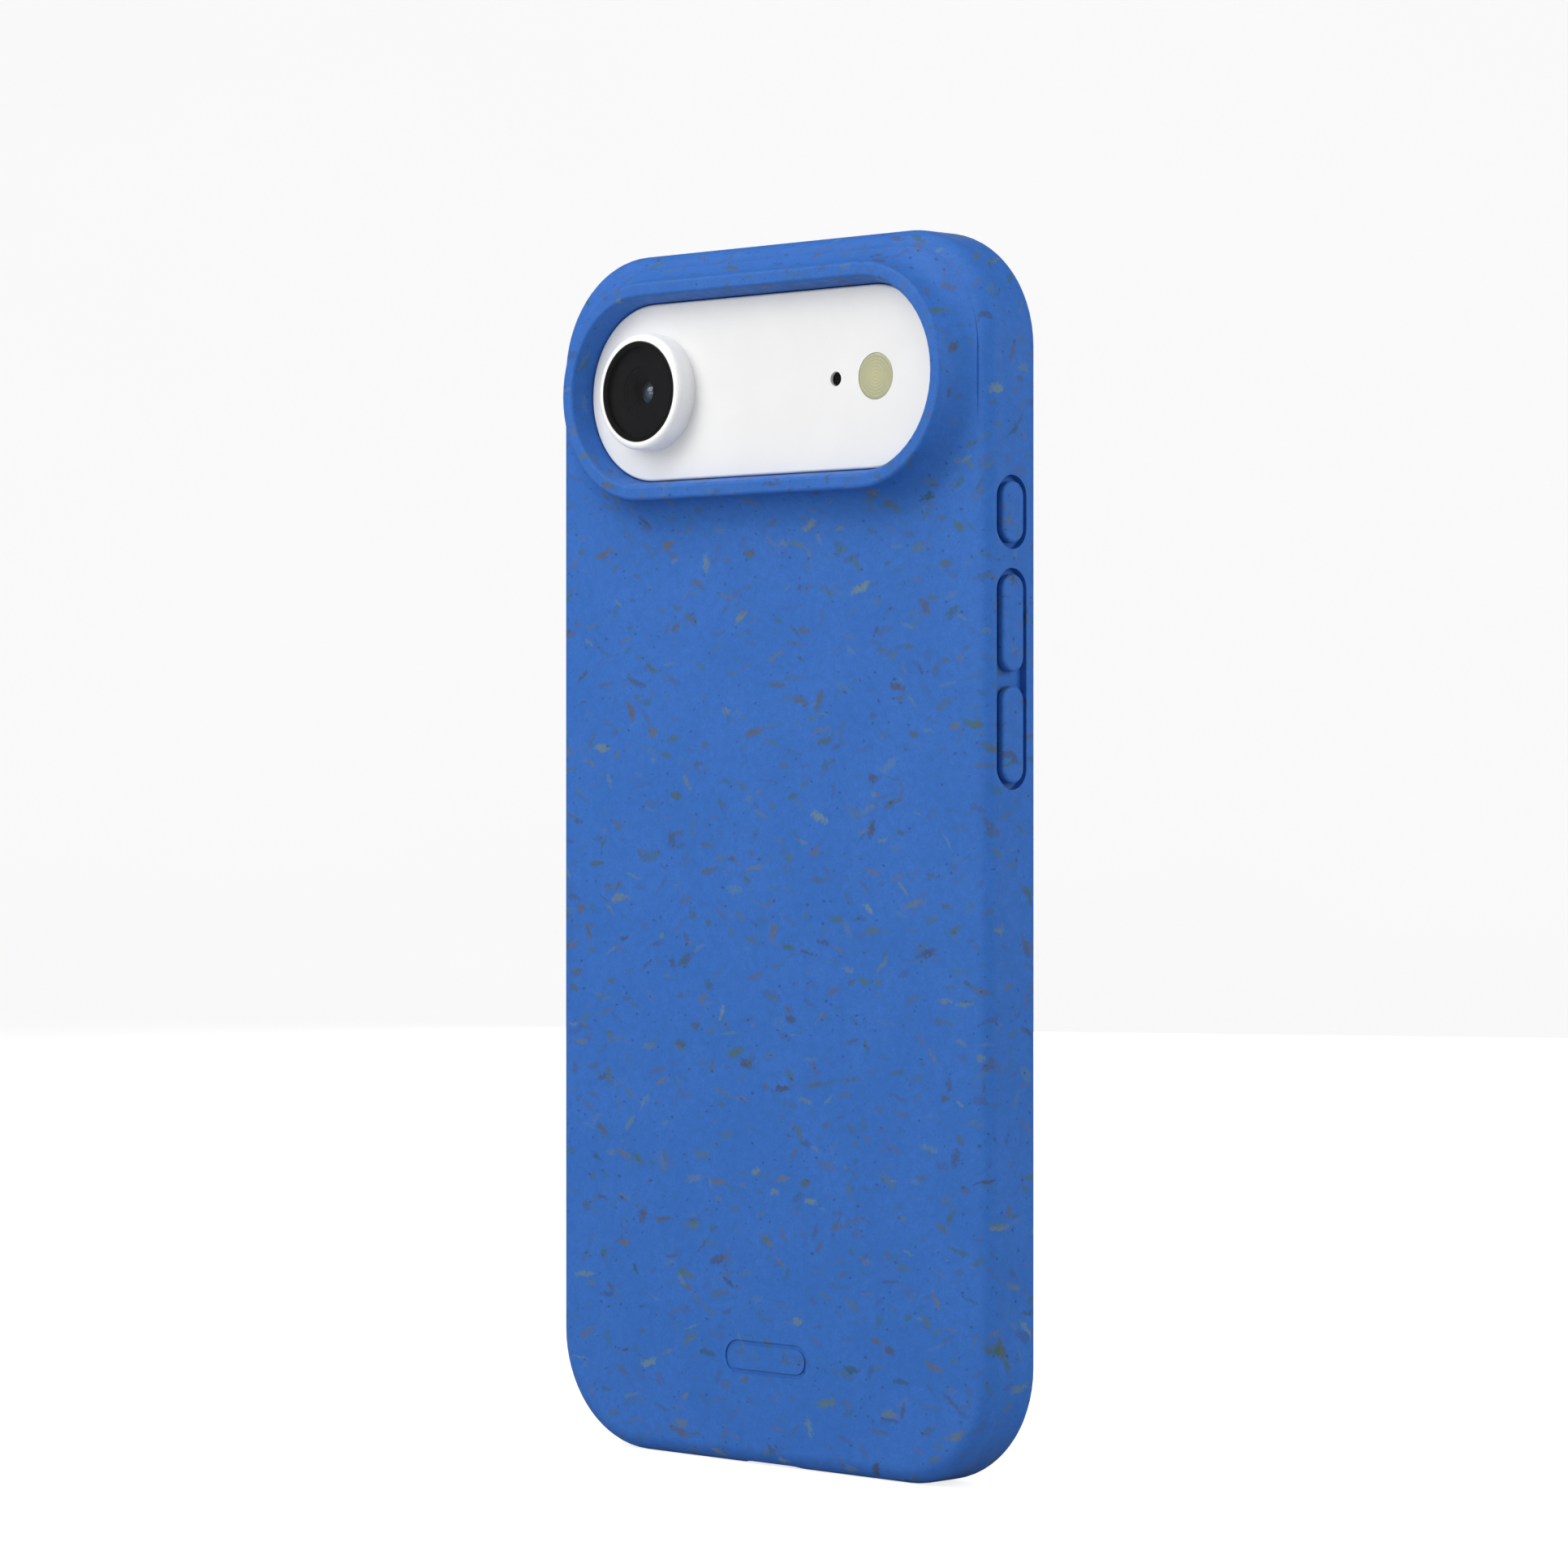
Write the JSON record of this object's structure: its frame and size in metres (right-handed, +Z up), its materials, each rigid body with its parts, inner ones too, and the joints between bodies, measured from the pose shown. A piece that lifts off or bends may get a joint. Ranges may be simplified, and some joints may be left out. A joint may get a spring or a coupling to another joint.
{
  "type": "smartphone in a protective case",
  "caption": "Slim smartphone with a single rear camera on a raised bar, inside a soft speckled case with covered side buttons.",
  "frame": {"origin": "middle of the bottom edge: X and Y centred on the outer box, Z zero at the bottom", "axes": "+Z up the phone, +Y out of its back, +X towards the power button"},
  "size_m": [0.0794, 0.0134, 0.1602],
  "materials": {
    "case_blue": "matt, flecked with plant fibres",
    "band_metal": "polished",
    "split_plastic": "matt",
    "front_glass": "polished",
    "oled": "gloss",
    "flex_film": "satin",
    "plate_steel": "satin",
    "back_glass": "satin",
    "adhesive": "soft",
    "plateau_white": "polished",
    "ring_white": "satin",
    "lens_glass": "coated",
    "black_plastic": "matt",
    "flash_glass": "frosted",
    "mesh_metal": "woven",
    "key_metal": "polished",
    "sapphire": "polished",
    "spring_steel": "bright",
    "switch_plastic": "matt",
    "battery_foil": "satin",
    "copper": "bright",
    "magnet": "plated",
    "board_green": "solder mask",
    "chip_black": "matt",
    "shield_metal": "tinned",
    "screw_steel": "plated",
    "lamp": "satin",
    "module_metal": "satin",
    "gold": "plated",
    "tungsten": "ground"
  },
  "bodies": {
    "phone": {"case_shell": "case_blue", "frame_band": "band_metal", "antenna_splits": "split_plastic", "front_glass": "front_glass", "oled_panel": "oled", "display_flex": "flex_film", "mid_plate": "plate_steel", "back_glass": "back_glass", "glass_gaskets": "adhesive", "camera_plateau": "plateau_white", "rear_lens_ring": "ring_white", "rear_lens_window": "lens_glass", "rear_lens_shroud": "black_plastic", "flash_window": "flash_glass", "rear_mic_mesh": "mesh_metal", "switch_domes": "spring_steel", "switch_bases": "switch_plastic", "battery_cell": "battery_foil", "battery_adhesive": "adhesive", "battery_tab": "flex_film", "charging_coil": "copper", "magnet_ring": "magnet", "main_board": "board_green", "board_chips": "chip_black", "board_shield": "shield_metal", "board_screws": "screw_steel", "flash_led": "lamp", "rear_camera_housing": "module_metal", "rear_camera_magnets": "magnet", "front_camera_housing": "module_metal", "face_sensor_module": "black_plastic", "speaker_box": "black_plastic", "speaker_magnet": "magnet", "port_shell": "shield_metal", "port_tongue": "black_plastic", "port_contacts": "gold", "sound_meshes": "mesh_metal", "bottom_screws": "screw_steel", "port_board": "board_green", "haptic_case": "module_metal", "haptic_coil": "copper", "haptic_springs": "spring_steel"},
    "action_button": {"action_key": "key_metal", "case_action_cover": "case_blue"},
    "volume_up_button": {"volume_up_key": "key_metal", "case_volume_up_cover": "case_blue"},
    "volume_down_button": {"volume_down_key": "key_metal", "case_volume_down_cover": "case_blue"},
    "side_button": {"side_key": "key_metal", "case_side_cover": "case_blue"},
    "camera_control": {"camera_control_key": "sapphire"},
    "rear_lens_group": {"lens_barrel": "black_plastic", "lens_elements": "lens_glass", "focus_coil": "copper"},
    "shift_frame": {"ois_x_frame": "module_metal"},
    "shift_sensor": {"sensor_carrier": "board_green", "image_sensor": "chip_black"},
    "front_lens": {"front_camera_barrel": "black_plastic"},
    "speaker_cone": {"speaker_diaphragm": "black_plastic"},
    "haptic_slug": {"haptic_mass": "tungsten"}
  },
  "joints": [
    {"name": "action_press", "type": "slide", "parent": "phone", "child": "action_button", "axis": [1, 0, 0], "range_m": [0, 0.00025], "deforming": ["switch_domes"]},
    {"name": "volume_up_press", "type": "slide", "parent": "phone", "child": "volume_up_button", "axis": [1, 0, 0], "range_m": [0, 0.00025], "deforming": ["switch_domes"]},
    {"name": "volume_down_press", "type": "slide", "parent": "phone", "child": "volume_down_button", "axis": [1, 0, 0], "range_m": [0, 0.00025], "deforming": ["switch_domes"]},
    {"name": "side_press", "type": "slide", "parent": "phone", "child": "side_button", "axis": [-1, 0, 0], "range_m": [0, 0.00025], "deforming": ["switch_domes"]},
    {"name": "camera_control_press", "type": "slide", "parent": "phone", "child": "camera_control", "axis": [-1, 0, 0], "range_m": [0, 0.00025], "deforming": ["switch_domes"]},
    {"name": "rear_focus", "type": "slide", "parent": "phone", "child": "rear_lens_group", "axis": [0, 1, 0], "range_m": [-0.0002, 0.00025]},
    {"name": "shift_sideways", "type": "slide", "parent": "phone", "child": "shift_frame", "axis": [1, 0, 0], "range_m": [-0.00015, 0.00015]},
    {"name": "shift_upright", "type": "slide", "parent": "shift_frame", "child": "shift_sensor", "axis": [0, 0, 1], "range_m": [-0.00015, 0.00015]},
    {"name": "front_focus", "type": "slide", "parent": "phone", "child": "front_lens", "axis": [0, 1, 0], "range_m": [-0.00008, 0.0001]},
    {"name": "speaker_pump", "type": "slide", "parent": "phone", "child": "speaker_cone", "axis": [0, 1, 0], "range_m": [-0.0003, 0.0003]},
    {"name": "haptic_shake", "type": "slide", "parent": "phone", "child": "haptic_slug", "axis": [1, 0, 0], "range_m": [-0.0006, 0.0006], "deforming": ["haptic_springs"]}
  ]
}
